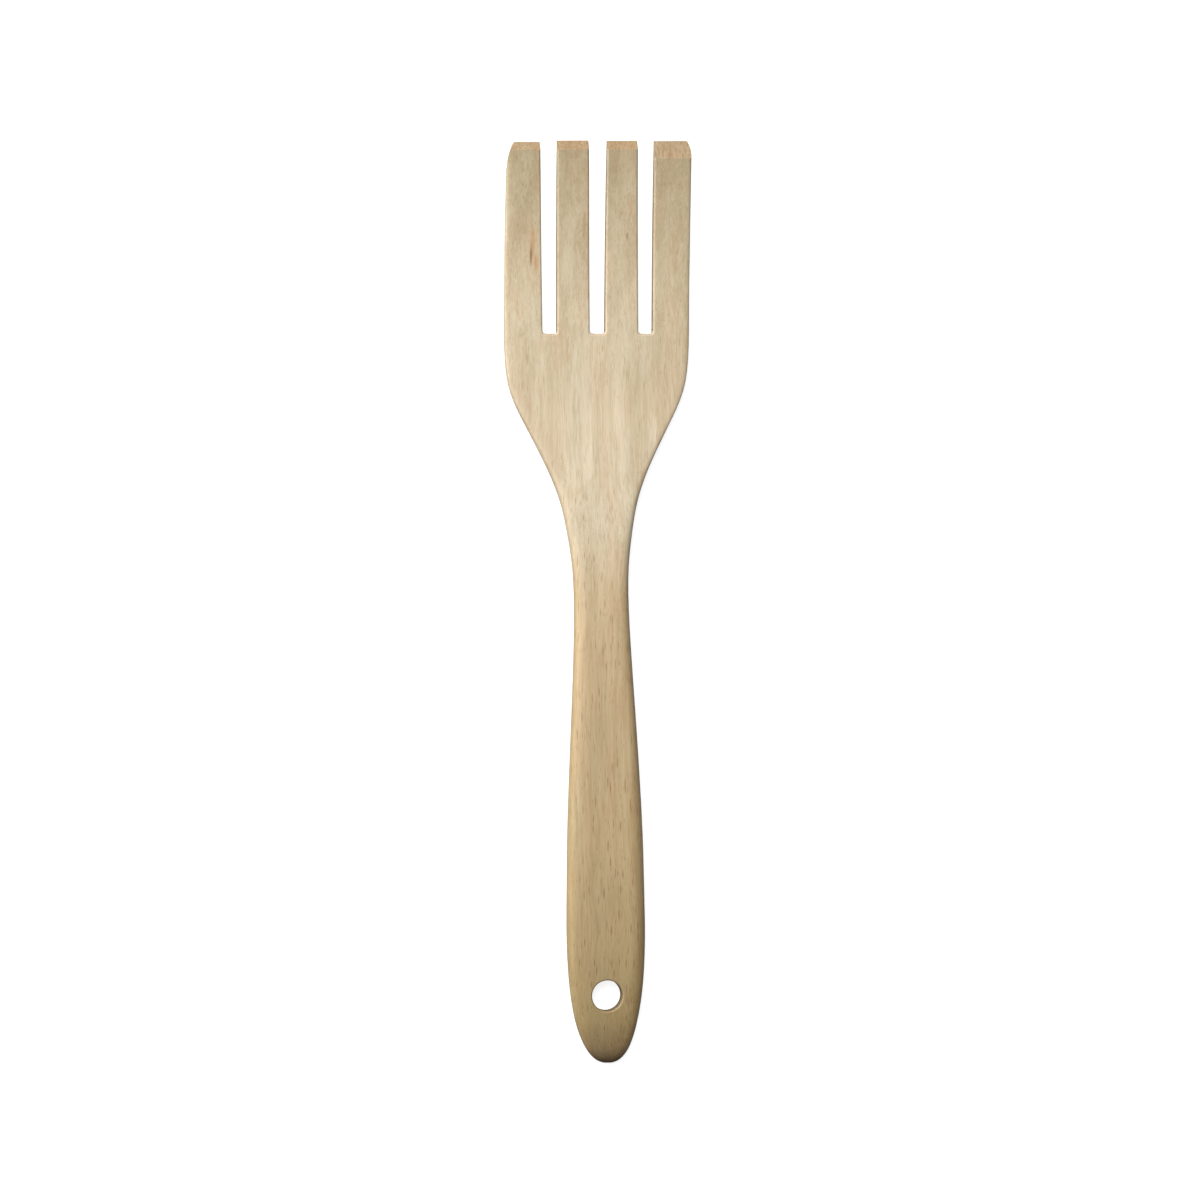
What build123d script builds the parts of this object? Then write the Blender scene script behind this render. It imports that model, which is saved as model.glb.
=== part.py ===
from build123d import *
import os

# A beech cooking fork, cut from one piece of wood, lying on its back with its tines
# towards +Y. Millimetres, +Z up. The origin is the middle of its footprint, on the
# surface that it lies on: the belly of the head and the butt of the handle touch it.

LENGTH = 300.0
TIP_Y = LENGTH / 2
BUTT_Y = -LENGTH / 2

# Plan: (y, half width), from the tines over the shoulders and the neck to the widest
# of the handle. The knots run past the tips, because the tips are cut off last.
HALF_WIDTHS = [
    (160, 30.0), (120, 30.4), (86, 30.45), (76, 29.85), (70.5, 28.75), (65, 26.75), (55, 21.8),
    (45, 17.0), (37, 13.8), (30, 11.9), (22, 10.5), (12, 9.3), (3, 8.95), (-8, 9.1), (-28, 10.05),
    (-58, 11.6), (-80, 12.45), (-104, 12.85),
]
# The middle line isn't quite straight: (y, x of the middle).
MIDDLE_XS = [
    (160, -0.05), (145, -0.12), (125, -0.29), (100, -0.34), (80, -0.28), (60, -0.22), (5, -0.17),
    (-25, -0.05), (-45, 0.0), (-134, 0.0), (-150, 0.45),
]
# From here to the butt end, width and thickness close in superellipses.
BUTT_START_Y = -104.0
BUTT_PLAN_POWER = 2.4
BUTT_SIDE_POWER = 2.5

# Side view: (y, thickness), and (y, height of the middle of the wood).
THICKNESSES = [
    (160, 3.8), (120, 4.4), (86, 5.0), (60, 5.6), (40, 6.7), (20, 8.0), (0, 8.6), (-60, 8.8),
    (-104, 8.6),
]
MID_HEIGHTS = [
    (160, 23.6), (140, 17.7), (120, 12.4), (100, 7.9), (80, 4.4), (62, 2.9), (48, 3.1), (25, 5.2),
    (5, 6.8), (-25, 7.6), (-60, 7.3), (-104, 5.6), (-150, 2.5),
]

# Rounding of the long edges: how far it reaches across the width, which share of half
# the thickness it takes, and how far it stays inside the sharp corner, as a share.
EDGE_WIDTHS = [(160, 0.9), (60, 1.0), (45, 1.3), (25, 1.9), (5, 2.4), (-30, 2.7), (-60, 2.8), (-104, 3.1)]
EDGE_DEPTHS = [(160, 0.38), (60, 0.4), (45, 0.5), (25, 0.8), (5, 0.93), (-104, 0.95)]
EDGE_EASES = [(160, 0.0), (60, 0.0), (25, 0.1), (5, 0.16), (-40, 0.2), (-104, 0.22)]
# The faces are flat from a little further in: these multiples of the rounding's width.
FACE_STARTS = (1.3, 1.6)
# The rounding never reaches across more than this share of the half width.
EDGE_WIDTH_SHARE = 0.5

# Where the cross-sections of the bar are taken, with those of the butt given as shares
# of its length, closer together towards its end.
BAR_STATIONS = [
    158, 146, 134, 122, 110, 98, 87, 78, 71, 65, 59, 53, 47, 41, 35, 29, 22, 14, 5, -6, -20, -38,
    -58, -78, -94,
]
BUTT_SHARES = [0.0, 0.22, 0.42, 0.58, 0.71, 0.81, 0.88, 0.935, 0.967, 0.985, 0.995, 0.999]

# Slots between the tines: x of the middle at the root and at the tips, and both widths.
SLOTS = [(-15.9, -16.8, 4.8, 5.5), (-0.2, -0.7, 5.1, 5.9), (15.7, 15.0, 4.8, 5.4)]
SLOT_ROOT_Y = 88.3
SLOT_CORNER_RADIUS = 1.0
SLOT_EDGE_RADIUS = 0.6

# Tine ends: cut a little askew, bevelled on top down to a blunt lip. For each tine, left
# to right: x of its middle, how far it stops short of the longest, and its bevel's length.
# The outer corners are eased by arcs: how far in at the tip, and how far back along the side.
TINE_ENDS = [(-24.0, 0.64, 3.1), (-8.7, 0.13, 3.4), (7.3, 0.1, 3.3), (23.5, 0.064, 6.0)]
TIP_SKEW = 0.7
TIP_LIP = 0.8
LEFT_CORNER = (2.6, 9.0)
RIGHT_CORNER = (1.3, 5.0)

# Hang hole, drilled straight down through the handle.
HOLE_Y = -127.9
HOLE_RADIUS = 5.0
HOLE_RIM_RADIUS = 0.5

# Cutters run this far past the wood.
CUT_END_Y = 165.0
CUT_HEIGHT = 40.0
CUT_MARGIN = 6.0
# Half the width of a tine's own cutter: past its sides, but short of the next tine.
TINE_REACH = 7.8

# Rims are found by where the middles of their edges lie: no further than this before a slot's
# root, at least this far from the tips, this far beyond a slot's side, and within this many
# radii of the hole.
RIM_ROOT_ROOM = 0.1
RIM_TIP_ROOM = 10.0
RIM_SIDE_ROOM = 1.0
RIM_HOLE_REACH = 1.2


def hermite(start, end, start_slope, end_slope, y):
    """Cubic from one (y, value) knot to the next, with the given slopes at its ends."""
    span = end[0] - start[0]
    rise = end[1] - start[1]
    t = (y - start[0]) / span
    lead = start_slope * span - rise
    trail = rise - end_slope * span
    return start[1] + t * rise + t * (1 - t) * ((1 - t) * lead + t * trail)


def knot_slope(before, knot, after):
    """Slope at a knot: the harmonic mean of its two chords, or level where they disagree."""
    into = (knot[1] - before[1]) / (knot[0] - before[0])
    out = (after[1] - knot[1]) / (after[0] - knot[0])
    if into * out <= 0:
        return 0.0
    return 2 * into * out / (into + out)


def smooth(knots, y):
    """Value at y on a smooth curve through (y, value) knots, without overshoot."""
    ends = [knots[0], *knots, knots[-1]]
    for before, start, end, after in zip(ends, ends[1:], ends[2:], ends[3:]):
        if y >= end[0]:
            chord = (end[1] - start[1]) / (end[0] - start[0])
            start_slope = chord if before is start else knot_slope(before, start, end)
            end_slope = chord if after is end else knot_slope(start, end, after)
            return hermite(start, end, start_slope, end_slope, y)
    return knots[-1][1]


def butt_share(y, power):
    """Share of the full size left at y, from 1 where the butt starts to 0 at its end."""
    depth = max(0.0, (BUTT_START_Y - y) / (BUTT_START_Y - BUTT_Y))
    return (1 - depth**power) ** (1 / power)


def half_width(y):
    return smooth(HALF_WIDTHS, y) * butt_share(y, BUTT_PLAN_POWER)


def half_thickness(y):
    return smooth(THICKNESSES, y) / 2 * butt_share(y, BUTT_SIDE_POWER)


def middle_point(y):
    return (smooth(MIDDLE_XS, y), y, smooth(MID_HEIGHTS, y))


def section(y):
    """Cross-section of the bar at y: four mirrored quarters, each one curve from side to middle."""
    a = half_width(y)
    b = half_thickness(y)
    rx = min(smooth(EDGE_WIDTHS, y), EDGE_WIDTH_SHARE * a)
    rz = smooth(EDGE_DEPTHS, y) * b
    ease = smooth(EDGE_EASES, y)
    corner = [(a, 0), (a, b - rz), (a, b - ease * rz), (a - ease * rx, b), (a - rx, b)]
    quarter = [*corner, *((a - start * rx, b) for start in FACE_STARTS), (0, b)]
    curves = []
    for flip_x, flip_z in ((1, 1), (-1, 1), (-1, -1), (1, -1)):
        points = [(flip_x * x, flip_z * z) for x, z in quarter]
        curves.append(Bezier(*points[:: flip_x * flip_z]))
    plane = Plane(origin=middle_point(y), x_dir=(1, 0, 0), z_dir=(0, -1, 0))
    return plane * make_face(curves)


def bar():
    """The curved bar of wood without its slots and hole, running past the tine tips."""
    butt_length = BUTT_START_Y - BUTT_Y
    stations = BAR_STATIONS + [BUTT_START_Y - share * butt_length for share in BUTT_SHARES]
    butt_end = Vertex(*middle_point(BUTT_Y))
    return loft([butt_end] + [section(y) for y in reversed(stations)])


def slot_cutter(root_x, tip_x, root_width, tip_width):
    """Tall cutter for one slot, wider at the tips, with eased corners at its root."""
    reach = (CUT_END_Y - SLOT_ROOT_Y) / (TIP_Y - SLOT_ROOT_Y)
    end_x = root_x + reach * (tip_x - root_x)
    end_width = root_width + reach * (tip_width - root_width)
    outline = Polyline(
        (root_x - root_width / 2, SLOT_ROOT_Y),
        (root_x + root_width / 2, SLOT_ROOT_Y),
        (end_x + end_width / 2, CUT_END_Y),
        (end_x - end_width / 2, CUT_END_Y),
        close=True,
    )
    face = make_face(outline)
    face = fillet(face.vertices().sort_by(Axis.Y)[:2], SLOT_CORNER_RADIUS)
    return extrude(face, CUT_HEIGHT, both=True)


def corner_cutter(side, inset, length):
    """Cutter that eases an outer corner of the head by an arc tangent to its side."""
    edge_x = half_width(TIP_Y) + side * smooth(MIDDLE_XS, TIP_Y)
    arc = TangentArc((edge_x, TIP_Y - length), (edge_x - inset, TIP_Y), tangent=(0, 1))
    outside = Polyline(
        (edge_x - inset, TIP_Y),
        (edge_x - inset, CUT_END_Y),
        (edge_x + CUT_MARGIN, CUT_END_Y),
        (edge_x + CUT_MARGIN, TIP_Y - length),
        (edge_x, TIP_Y - length),
    )
    face = make_face([arc, outside])
    if side < 0:
        face = mirror(face, Plane.YZ)
    return extrude(face, CUT_HEIGHT, both=True)


def tip_cutter(middle_x, setback, bevel_length):
    """Cutter, drawn from the side, that leaves a bevel on top of one tine and a blunt lip."""
    tip_y = TIP_Y - setback
    bevel_y = tip_y - bevel_length
    bevel_z = smooth(MID_HEIGHTS, bevel_y) + half_thickness(bevel_y)
    lip_z = smooth(MID_HEIGHTS, tip_y) - half_thickness(tip_y) + TIP_LIP
    outline = Polyline(
        (tip_y, -CUT_HEIGHT),
        (tip_y, lip_z),
        (2 * bevel_y - tip_y, 2 * bevel_z - lip_z),
        (2 * bevel_y - tip_y, CUT_HEIGHT),
        (CUT_END_Y, CUT_HEIGHT),
        (CUT_END_Y, -CUT_HEIGHT),
        close=True,
    )
    cutter = extrude(Plane.YZ * make_face(outline), TINE_REACH, both=True)
    return Pos(middle_x, 0, 0) * cutter.rotate(Axis((0, tip_y, 0), (0, 0, 1)), TIP_SKEW)


def slot_rims(body, root_x, tip_x, root_width, tip_width):
    """Edges where one slot opens through the face and the back of the head."""
    middle_x = (root_x + tip_x) / 2
    reach = tip_width / 2 + RIM_SIDE_ROOM
    first_y = SLOT_ROOT_Y - RIM_ROOT_ROOM
    last_y = TIP_Y - RIM_TIP_ROOM
    return [
        edge
        for edge in body.edges().filter_by(GeomType.BSPLINE)
        if first_y < edge.center().Y < last_y and abs(edge.center().X - middle_x) < reach
    ]


def hole_rims(body):
    """Edges where the hang hole opens through the two faces of the handle."""
    reach = RIM_HOLE_REACH * HOLE_RADIUS
    return [
        edge
        for edge in body.edges().filter_by(GeomType.BSPLINE)
        if abs(edge.center().Y - HOLE_Y) < reach and abs(edge.center().X) < reach
    ]


def fork_body():
    """The whole fork: the bar, slotted into four tines, trimmed at the tips and drilled."""
    body = bar()
    for slot in SLOTS:
        body -= slot_cutter(*slot)
    for tine_end in TINE_ENDS:
        body -= tip_cutter(*tine_end)
    body -= corner_cutter(-1, *LEFT_CORNER)
    body -= corner_cutter(1, *RIGHT_CORNER)
    for slot in SLOTS:
        body = fillet(slot_rims(body, *slot), SLOT_EDGE_RADIUS)
    body -= Pos(0, HOLE_Y, 0) * Cylinder(HOLE_RADIUS, CUT_HEIGHT)
    return fillet(hole_rims(body), HOLE_RIM_RADIUS)


if __name__ == "__main__":
    os.makedirs("parts", exist_ok=True)
    export_step(fork_body(), "parts/fork_body.step")
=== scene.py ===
"""A one-piece beech cooking fork lying on its back on a pale floor, under soft studio light.

Lengths are in metres unless a name ends in _MM. The fork's tines point along +Y and +Z is up.
"""

import math

import bpy
from mathutils import Matrix, Vector

MM_PER_METRE = 1000.0

# Camera: almost straight above the fork, a little to its left and towards the handle.
CAMERA_YAW = math.radians(6.5)
CAMERA_PITCH = math.radians(-2.7)
CAMERA_ROLL = math.radians(0.8)
CAMERA_OFFSET = Vector((0.00024, 0.00120, 1.093))
LENS_MM = 99.68
SENSOR_MM = 36.0

# Floor and surroundings. The floor glows a little more for the camera with distance, to stay pale.
FLOOR_HALF = 3.0
FLOOR_COLOUR = (0.38, 0.38, 0.38)
FLOOR_GLOW_NEAR = 0.86
FLOOR_GLOW_FAR = 1.0
FLOOR_GLOW_START = 0.2
FLOOR_GLOW_END = 1.2
BACKDROP_COLOUR = (1.0, 1.0, 1.0, 1.0)
BACKDROP_BRIGHTNESS = 1.0
AMBIENT_STRENGTH = 0.025

# Soft boxes: name, compass bearing from +Y towards +X, height angle, distance, side, watts.
LIGHT_TARGET = Vector((0.0, 0.03, 0.0))
SOFT_BOXES = [
    ("low_left_box", 305.0, 20.0, 1.5, 1.0, 17.0),
    ("side_box", 278.0, 7.0, 1.5, 1.0, 14.0),
    ("top_box", 320.0, 68.0, 1.5, 0.84, 24.5),
]

# Beech colours along the fork, from a dark butt over a warm handle to a pale head whose tips
# are a little darker again. These are partly the wood's own tone and partly painted light: the
# near-black butt end is painted shade, the pale, whitish head carries a painted sheen, and the
# darker tips are painted shade. Place on the length in mm, linear colour.
TONES_AND_PAINTED_LIGHT = [
    (-150.0, (0.07, 0.05, 0.03)),
    (-145.0, (0.25, 0.18, 0.09)),
    (-135.0, (0.33, 0.24, 0.11)),
    (-80.0, (0.43, 0.32, 0.17)),
    (0.0, (0.46, 0.34, 0.19)),
    (25.0, (0.50, 0.41, 0.28)),
    (95.0, (0.58, 0.48, 0.33)),
    (150.0, (0.42, 0.34, 0.21)),
]

# Factors that tint the wood.
DARK_GRAIN = (0.84, 0.79, 0.71, 1.0)
PALE_GRAIN = (1.07, 1.09, 1.12, 1.0)
PINK_TINT = (1.015, 0.985, 0.965, 1.0)
GREEN_TINT = (0.985, 1.0, 0.99, 1.0)
FLECK_TINT = (0.66, 0.56, 0.45, 1.0)
LINE_TINT = (0.80, 0.72, 0.62, 1.0)
END_GRAIN = (0.955, 0.84, 0.80, 1.0)
END_PORES = (0.74, 0.60, 0.52, 1.0)
WORN_TINT = (1.04, 1.07, 1.12, 1.0)

# Noise patterns, long along the fork: repeats per mm across, along and in depth, then a shift
# that keeps the pattern apart from the others, detail, and roughness of the detail.
PATTERNS = {
    "slow_sway": ((0.02, 0.012, 0.02), (0.0, 0.0, 0.0), 1.0, 0.5),
    "quick_sway": ((0.12, 0.045, 0.12), (4.0, 6.0, 1.0), 1.0, 0.5),
    "bands": ((0.16, 0.007, 0.16), (0.0, 0.0, 0.0), 2.0, 0.5),
    "streaks": ((0.95, 0.032, 0.95), (7.0, 0.0, 3.0), 3.0, 0.62),
    "fibres": ((2.6, 0.10, 2.6), (1.0, 5.0, 2.0), 2.0, 0.65),
    "patches": ((0.19, 0.035, 0.19), (8.0, 3.0, 5.0), 2.0, 0.5),
    "rings": ((0.55, 0.010, 0.55), (2.0, 7.0, 8.0), 0.0, 0.5),
    "ring_breaks": ((0.5, 0.07, 0.5), (6.0, 1.0, 2.0), 2.0, 0.5),
    "fleck_clusters": ((0.11, 0.03, 0.11), (5.0, 2.0, 4.0), 1.0, 0.5),
    "end_pores": ((1.7, 0.30, 1.7), (2.0, 8.0, 6.0), 2.0, 0.6),
    "unevenness": ((0.10, 0.045, 0.10), (9.0, 4.0, 7.0), 1.0, 0.5),
}
NOISE_MIDDLE = 0.5

# How far the grain wanders sideways, as the full swing of the noise.
SLOW_SWAY_MM = 9.0
QUICK_SWAY_MM = 3.4

# Grain: weight of each pattern in the tone, and the tones that are fully pale and fully dark.
BAND_WEIGHT = 0.8
STREAK_WEIGHT = 0.75
FIBRE_WEIGHT = 0.65
TONE_RANGE = (0.79, 1.42)
PATCH_RANGE = (0.36, 0.64)

# Growth lines: number per swing of the noise, half width as a share of their spacing, where
# they break off, and strength.
RING_COUNT = 9.0
RING_HALF_WIDTH = 0.13
RING_BREAK_RANGE = (0.42, 0.62)
RING_STRENGTH = 0.42

# Flecks: cells per mm, where a fleck is full and where it ends, and the share of cells kept.
LARGE_FLECKS = ((1.25, 0.15, 1.25), 0.12, 0.38, 0.42)
SMALL_FLECKS = ((2.3, 0.34, 2.3), 0.10, 0.40, 0.32)
FLECK_KEPT_BLUR = 0.1
SMALL_FLECK_STRENGTH = 0.75
CLUSTER_RANGE = (0.3, 0.65)
CLUSTER_STRENGTHS = (0.55, 1.0)
# They are stronger on the handle than on the head.
FLECK_FADE_MM = (-10.0, 60.0)
FLECK_FADE = (1.2, 0.6)
FLECK_STRENGTH = 0.8

# Mineral streaks in the face of the wood: middle and half size in mm, colour factor, strength.
RUST = (0.94, 0.66, 0.44, 1.0)
BARK = (0.50, 0.33, 0.23, 1.0)
MINERAL_STREAKS = [
    ((-22.3, 113.4, 12.5), (0.65, 5.2, 3.0), BARK, 1.0),
    ((-21.7, 119.0, 13.5), (1.4, 10.0, 3.5), RUST, 0.75),
    ((-20.6, 110.8, 12.0), (1.2, 4.6, 3.0), RUST, 0.80),
    ((-20.7, 136.0, 19.0), (1.5, 15.0, 4.0), RUST, 0.34),
    ((-4.9, 123.5, 15.0), (1.0, 9.0, 3.5), RUST, 0.60),
    ((10.3, 128.0, 16.5), (0.8, 3.6, 2.5), RUST, 0.50),
    ((9.2, 119.3, 14.5), (0.55, 2.2, 2.4), BARK, 0.60),
    ((5.0, 140.0, 20.0), (2.2, 8.0, 4.0), RUST, 0.22),
    ((-19.4, 84.0, 7.5), (1.6, 5.0, 3.0), RUST, 0.22),
    ((-10.2, 80.5, 7.0), (2.2, 4.5, 3.0), RUST, 0.18),
    ((-27.0, 70.0, 6.0), (1.4, 5.0, 3.0), RUST, 0.24),
]
# Share of a streak's half size at which it starts to fade.
STREAK_CORE = 0.1

# End grain shows where the surface turns this far towards Y. On the tine ends, past the given
# place, a slighter turn is enough, if the surface also faces up.
ROUNDED_BY = 0.0007
ROUNDING_SAMPLES = 4
END_RANGE = (0.36, 0.62)
BEVEL_TURN_RANGE = (0.1, 0.18)
BEVEL_UP_RANGE = (0.0, 0.3)
BEVEL_PLACE_MM = (138.0, 142.0)
PORE_RANGE = (0.46, 0.66)
END_STRENGTH = 0.9

# Rubbed edges: cosine between the rounded normal and the true one, from fully rubbed to not at
# all, then the part of the patches where handling shows, and strength.
RUBBED_RANGE = (0.93, 0.999)
HANDLED_RANGE = (0.3, 0.6)
RUBBED_STRENGTH = 0.7

# Relief: height of each pattern, then strength and depth of the fine and of the broad bumps.
STREAK_HEIGHT = 0.5
FIBRE_HEIGHT = 0.6
FLECK_DEPTH = 0.5
FINE_BUMP = (0.4, 0.00012)
BROAD_BUMP = (0.6, 0.0005)

# Finish: the streaks' noise, less a share where rubbed, spreads over this range of roughness.
RUBBED_GLOSS = 0.3
GLOSS_NOISE_RANGE = (0.2, 0.8)
ROUGHNESS_RANGE = (0.42, 0.56)
WOOD_IOR = 1.5


class Graph:
    """Short names for making and joining the nodes of a material or of the world."""

    def __init__(self, material):
        material.use_nodes = True
        self.tree = material.node_tree
        self.tree.nodes.clear()

    def node(self, kind, inputs=(), **settings):
        made = self.tree.nodes.new(kind)
        for name, value in settings.items():
            setattr(made, name, value)
        for socket, value in dict(inputs).items():
            self.feed(made.inputs[socket], value)
        return made

    def feed(self, socket, value):
        if isinstance(value, bpy.types.NodeSocket):
            self.tree.links.new(value, socket)
        else:
            socket.default_value = value

    def math(self, operation, a, b=0.0):
        return self.node("ShaderNodeMath", {0: a, 1: b}, operation=operation).outputs[0]

    def vector_math(self, operation, inputs):
        return self.node("ShaderNodeVectorMath", inputs, operation=operation).outputs

    def part_of(self, vector, axis):
        return self.node("ShaderNodeSeparateXYZ", {0: vector}).outputs[axis]

    def total(self, *weighted):
        """The sum of (value, weight) pairs."""
        terms = [self.math("MULTIPLY", value, weight) for value, weight in weighted]
        result = terms[0]
        for term in terms[1:]:
            result = self.math("ADD", result, term)
        return result

    def stretch(self, vector, scale, shift=(0.0, 0.0, 0.0)):
        made = self.node("ShaderNodeMapping", {"Vector": vector, "Scale": scale, "Location": shift})
        return made.outputs[0]

    def pattern(self, vector, name):
        """One of the noise patterns, from 0 to 1 around its middle."""
        scale, shift, detail, roughness = PATTERNS[name]
        inputs = {"Vector": self.stretch(vector, scale, shift), "Scale": 1.0}
        inputs.update({"Detail": detail, "Roughness": roughness})
        return self.node("ShaderNodeTexNoise", inputs).outputs["Fac"]

    def ramp(self, value, place, result=(0.0, 1.0)):
        """A smooth step from the first result to the second, over the two places."""
        inputs = {"Value": value, "From Min": place[0], "From Max": place[1]}
        inputs.update({"To Min": result[0], "To Max": result[1]})
        return self.node("ShaderNodeMapRange", inputs, interpolation_type="SMOOTHSTEP").outputs[0]

    def mix(self, share, a, b, blend="MIX"):
        made = self.node("ShaderNodeMix", data_type="RGBA", blend_type=blend)
        colour_inputs = [socket for socket in made.inputs if socket.type == "RGBA"]
        self.feed(made.inputs["Factor"], share)
        self.feed(colour_inputs[0], a)
        self.feed(colour_inputs[1], b)
        return next(socket for socket in made.outputs if socket.type == "RGBA")

    def tint(self, colour, factor, share):
        """The colour multiplied by a factor, as far as share says."""
        return self.mix(share, colour, factor, "MULTIPLY")

    def bump(self, height, strength_and_depth, below=None):
        strength, depth = strength_and_depth
        made = self.node("ShaderNodeBump", {"Height": height, "Strength": strength, "Distance": depth})
        if below is not None:
            self.feed(made.inputs["Normal"], below)
        return made.outputs[0]


def colour_and_painted_light_along(g, mm):
    """The colour along the fork through the listed stops: the wood's tone, with painted shade at the butt end
    and tips and a painted sheen on the head.
    """
    start, end = TONES_AND_PAINTED_LIGHT[0][0], TONES_AND_PAINTED_LIGHT[-1][0]
    inputs = {"Value": g.part_of(mm, "Y"), "From Min": start, "From Max": end}
    share = g.node("ShaderNodeMapRange", inputs).outputs[0]
    made = g.node("ShaderNodeValToRGB", {"Fac": share})
    elements = made.color_ramp.elements
    while len(elements) < len(TONES_AND_PAINTED_LIGHT):
        elements.new(0.5)
    for element, (place, colour) in zip(elements, TONES_AND_PAINTED_LIGHT):
        element.position = (place - start) / (end - start)
        element.color = (*colour, 1.0)
    return made.outputs["Color"]


def swayed(g, mm):
    """The place in mm, moved sideways so that the grain wanders as it runs along the fork."""
    slow = g.math("SUBTRACT", g.pattern(mm, "slow_sway"), NOISE_MIDDLE)
    quick = g.math("SUBTRACT", g.pattern(mm, "quick_sway"), NOISE_MIDDLE)
    sideways = g.total((slow, SLOW_SWAY_MM), (quick, QUICK_SWAY_MM))
    sway = g.node("ShaderNodeCombineXYZ", {"X": sideways})
    return g.vector_math("ADD", {0: mm, 1: sway.outputs[0]})[0]


def growth_lines(g, grain):
    """Thin, broken lines at even steps of the noise."""
    rings = g.math("MULTIPLY", g.pattern(grain, "rings"), RING_COUNT)
    rings = g.math("ABSOLUTE", g.math("SUBTRACT", g.math("FRACT", rings), 0.5))
    line = g.ramp(rings, (0.0, RING_HALF_WIDTH), (1.0, 0.0))
    return g.math("MULTIPLY", line, g.ramp(g.pattern(grain, "ring_breaks"), RING_BREAK_RANGE))


def dashes(g, vector, scale, core, rim, kept):
    """Lens-shaped dashes, one in each cell of a stretched lattice, of which some are left out."""
    made = g.node("ShaderNodeTexVoronoi", {"Vector": g.stretch(vector, scale), "Scale": 1.0})
    chance = g.node("ShaderNodeSeparateColor", {0: made.outputs["Color"]}).outputs[0]
    shape = g.ramp(made.outputs["Distance"], (core, rim), (1.0, 0.0))
    left_out = 1.0 - kept
    return g.math("MULTIPLY", shape, g.ramp(chance, (left_out - FLECK_KEPT_BLUR, left_out + FLECK_KEPT_BLUR)))


def beech_flecks(g, mm, grain):
    """The short dark flecks that mark beech, in loose clusters."""
    clusters = g.ramp(g.pattern(grain, "fleck_clusters"), CLUSTER_RANGE, CLUSTER_STRENGTHS)
    large = dashes(g, mm, *LARGE_FLECKS)
    small = g.math("MULTIPLY", dashes(g, grain, *SMALL_FLECKS), SMALL_FLECK_STRENGTH)
    fleck = g.math("MULTIPLY", g.math("MAXIMUM", large, small), clusters)
    return g.math("MULTIPLY", fleck, g.ramp(g.part_of(mm, "Y"), FLECK_FADE_MM, FLECK_FADE))


def mineral_streaks(g, mm, colour):
    for middle, half_size, factor, strength in MINERAL_STREAKS:
        scale = [1.0 / size for size in half_size]
        shift = [-at / size for at, size in zip(middle, half_size)]
        reach = g.vector_math("LENGTH", {0: g.stretch(mm, scale, shift)})["Value"]
        colour = g.tint(colour, factor, g.ramp(reach, (STREAK_CORE, 1.0), (strength, 0.0)))
    return colour


def cut_across(g, mm, soft_normal):
    """Where the surface is cut across the fibres: steep along Y, and all over the tine ends."""
    turn, up = g.part_of(soft_normal, "Y"), g.part_of(soft_normal, "Z")
    steep = g.ramp(g.math("ABSOLUTE", turn), END_RANGE)
    bevel = g.math("MULTIPLY", g.ramp(turn, BEVEL_TURN_RANGE), g.ramp(up, BEVEL_UP_RANGE))
    bevel = g.math("MULTIPLY", bevel, g.ramp(g.part_of(mm, "Y"), BEVEL_PLACE_MM))
    return g.math("MAXIMUM", steep, bevel)


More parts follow.
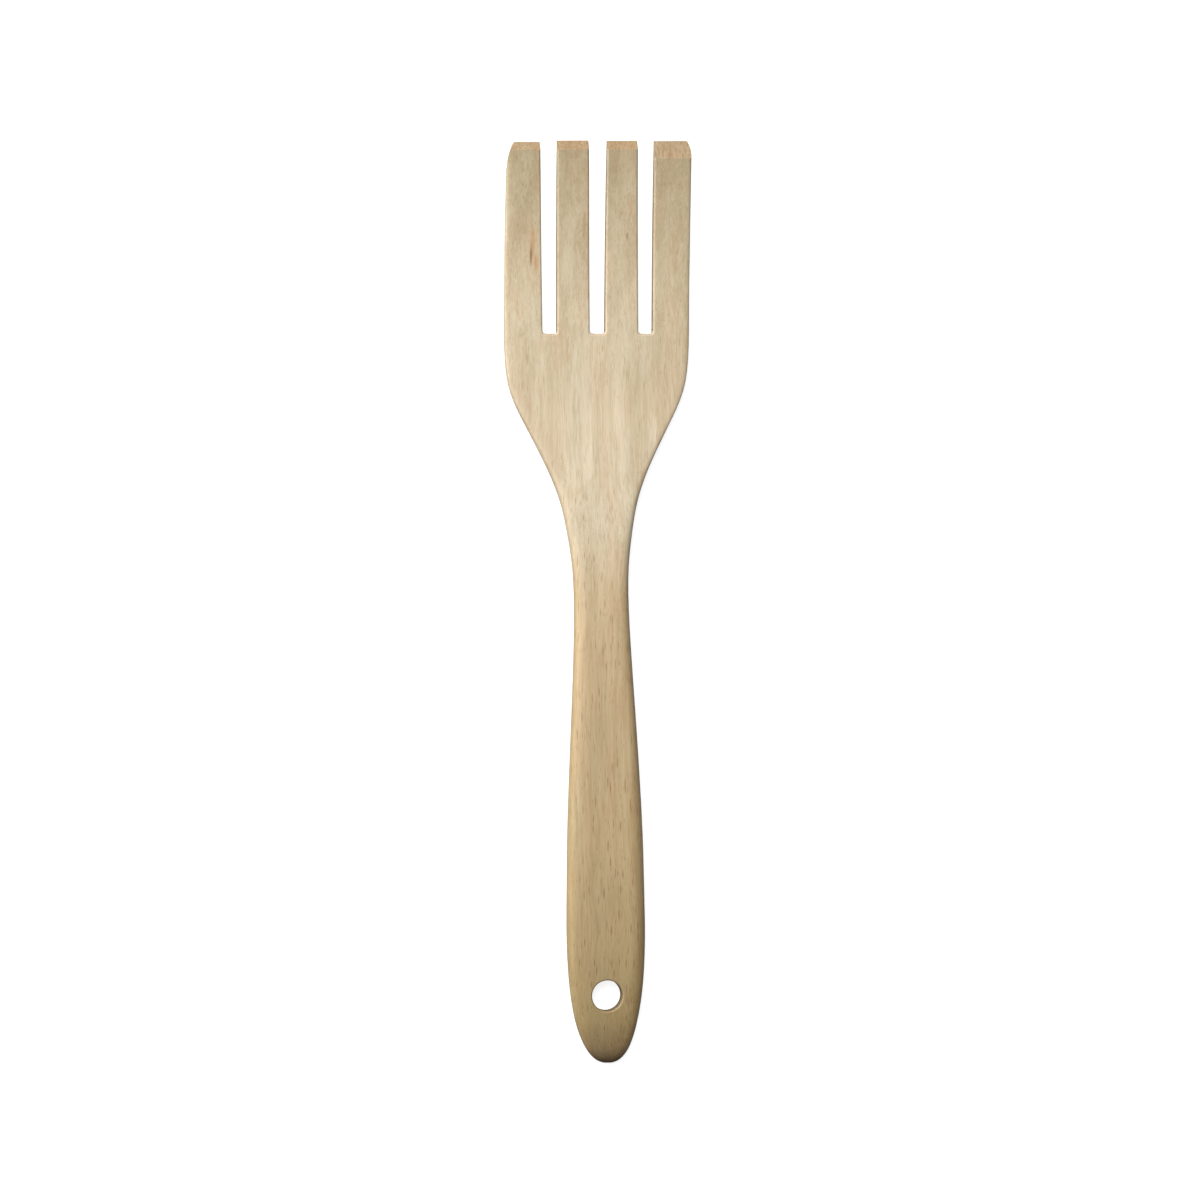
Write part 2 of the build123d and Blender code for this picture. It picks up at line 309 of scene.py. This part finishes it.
def beech_material(name):
    """Bare, fine-sanded beech with its grain along Y."""
    material = bpy.data.materials.new(name)
    g = Graph(material)
    place = g.node("ShaderNodeTexCoord").outputs["Object"]
    mm = g.vector_math("SCALE", {0: place, "Scale": MM_PER_METRE})[0]
    grain = swayed(g, mm)

    # broad bands, streaks and fibres over the slow change along the fork, which holds painted shade at the
    # butt end and tips and a painted sheen on the head
    streaks = g.pattern(grain, "streaks")
    fibres = g.pattern(grain, "fibres")
    bands = g.pattern(grain, "bands")
    tone = g.total((bands, BAND_WEIGHT), (streaks, STREAK_WEIGHT), (fibres, FIBRE_WEIGHT))
    tone = g.mix(g.ramp(tone, TONE_RANGE), PALE_GRAIN, DARK_GRAIN)
    colour = g.tint(colour_and_painted_light_along(g, mm), tone, 1.0)

    # faint pink and greenish patches
    patches = g.pattern(grain, "patches")
    colour = g.tint(colour, g.mix(g.ramp(patches, PATCH_RANGE), PINK_TINT, GREEN_TINT), 1.0)

    lines = growth_lines(g, grain)
    colour = g.tint(colour, LINE_TINT, g.math("MULTIPLY", lines, RING_STRENGTH))
    flecks = beech_flecks(g, mm, grain)
    colour = g.tint(colour, FLECK_TINT, g.math("MULTIPLY", flecks, FLECK_STRENGTH))
    colour = mineral_streaks(g, mm, colour)

    # end grain
    normal = g.node("ShaderNodeNewGeometry").outputs["Normal"]
    soft_normal = g.node("ShaderNodeBevel", {"Radius": ROUNDED_BY}, samples=ROUNDING_SAMPLES).outputs[0]
    end_tint = g.mix(g.ramp(g.pattern(mm, "end_pores"), PORE_RANGE), END_GRAIN, END_PORES)
    ends = g.math("MULTIPLY", cut_across(g, mm, soft_normal), END_STRENGTH)
    colour = g.tint(colour, end_tint, ends)

    # handling has rubbed the edges paler
    match = g.vector_math("DOT_PRODUCT", {0: soft_normal, 1: normal})["Value"]
    edges = g.ramp(match, RUBBED_RANGE, (1.0, 0.0))
    rubbed = g.math("MULTIPLY", edges, g.ramp(patches, HANDLED_RANGE))
    colour = g.tint(colour, WORN_TINT, g.math("MULTIPLY", rubbed, RUBBED_STRENGTH))

    relief = g.total((streaks, STREAK_HEIGHT), (fibres, FIBRE_HEIGHT))
    relief = g.math("SUBTRACT", relief, g.math("MULTIPLY", flecks, FLECK_DEPTH))
    bumps = g.bump(g.pattern(mm, "unevenness"), BROAD_BUMP, g.bump(relief, FINE_BUMP))
    finish = g.math("SUBTRACT", streaks, g.math("MULTIPLY", rubbed, RUBBED_GLOSS))
    roughness = g.ramp(finish, GLOSS_NOISE_RANGE, ROUGHNESS_RANGE)

    inputs = {"Base Color": colour, "Roughness": roughness, "Normal": bumps, "IOR": WOOD_IOR}
    shader = g.node("ShaderNodeBsdfPrincipled", inputs)
    g.node("ShaderNodeOutputMaterial", {"Surface": shader.outputs[0]})
    return material


def make_camera():
    """The camera's own axes are the fork's, turned by yaw, then pitch, then roll."""
    turn = (
        Matrix.Rotation(CAMERA_ROLL, 3, "Z")
        @ Matrix.Rotation(CAMERA_PITCH, 3, "X")
        @ Matrix.Rotation(CAMERA_YAW, 3, "Y")
    ).transposed()
    camera = bpy.data.objects.new("camera", bpy.data.cameras.new("camera"))
    camera.data.lens = LENS_MM
    camera.data.sensor_width = SENSOR_MM
    camera.matrix_world = Matrix.Translation(turn @ CAMERA_OFFSET) @ turn.to_4x4()
    bpy.context.scene.collection.objects.link(camera)
    bpy.context.scene.camera = camera


def floor_material():
    """Pale matt paint that also glows, for the camera only."""
    material = bpy.data.materials.new("floor")
    g = Graph(material)
    place = g.node("ShaderNodeTexCoord").outputs["Object"]
    distance = g.vector_math("LENGTH", {0: place})["Value"]
    glow = g.ramp(distance, (FLOOR_GLOW_START, FLOOR_GLOW_END), (FLOOR_GLOW_NEAR, FLOOR_GLOW_FAR))
    seen = g.node("ShaderNodeLightPath").outputs["Is Camera Ray"]
    paint = g.node("ShaderNodeBsdfDiffuse", {"Color": (*FLOOR_COLOUR, 1.0)})
    light = g.node("ShaderNodeEmission", {"Strength": g.math("MULTIPLY", glow, seen)})
    both = g.node("ShaderNodeAddShader", {0: paint.outputs[0], 1: light.outputs[0]})
    g.node("ShaderNodeOutputMaterial", {"Surface": both.outputs[0]})
    return material


def make_floor():
    mesh = bpy.data.meshes.new("floor")
    corners = [(x, y, 0.0) for x, y in ((-1, -1), (1, -1), (1, 1), (-1, 1))]
    mesh.from_pydata([tuple(FLOOR_HALF * c for c in corner) for corner in corners], [], [(0, 1, 2, 3)])
    mesh.materials.append(floor_material())
    floor = bpy.data.objects.new("floor", mesh)
    bpy.context.scene.collection.objects.link(floor)


def make_lights():
    for name, bearing, height, distance, side, watts in SOFT_BOXES:
        level = math.cos(math.radians(height))
        east, north = math.sin(math.radians(bearing)), math.cos(math.radians(bearing))
        way = Vector((level * east, level * north, math.sin(math.radians(height))))
        data = bpy.data.lights.new(name, "AREA")
        data.shape = "SQUARE"
        data.size = side
        data.energy = watts
        box = bpy.data.objects.new(name, data)
        box.location = LIGHT_TARGET + way * distance
        box.rotation_euler = (-way).to_track_quat("-Z", "Y").to_euler()
        box.visible_camera = False
        bpy.context.scene.collection.objects.link(box)


def make_backdrop():
    """A white surround that lights the fork only faintly."""
    world = bpy.data.worlds.new("studio")
    g = Graph(world)
    seen = g.node("ShaderNodeLightPath").outputs["Is Camera Ray"]
    strengths = {"Value": seen, "To Min": AMBIENT_STRENGTH, "To Max": BACKDROP_BRIGHTNESS}
    strength = g.node("ShaderNodeMapRange", strengths).outputs[0]
    sky = g.node("ShaderNodeBackground", {"Color": BACKDROP_COLOUR, "Strength": strength})
    g.node("ShaderNodeOutputWorld", {"Surface": sky.outputs[0]})
    bpy.context.scene.world = world


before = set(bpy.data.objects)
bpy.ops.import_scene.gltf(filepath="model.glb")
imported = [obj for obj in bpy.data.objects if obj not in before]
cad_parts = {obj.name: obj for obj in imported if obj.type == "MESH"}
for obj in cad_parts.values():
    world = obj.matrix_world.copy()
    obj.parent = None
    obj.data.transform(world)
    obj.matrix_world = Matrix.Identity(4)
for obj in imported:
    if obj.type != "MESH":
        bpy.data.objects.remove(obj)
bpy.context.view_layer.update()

bpy.context.scene.view_settings.view_transform = "Standard"
make_camera()
make_floor()
make_lights()
make_backdrop()

beech = beech_material("beech_wood")
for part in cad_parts.values():
    for slot in part.material_slots:
        slot.material = beech
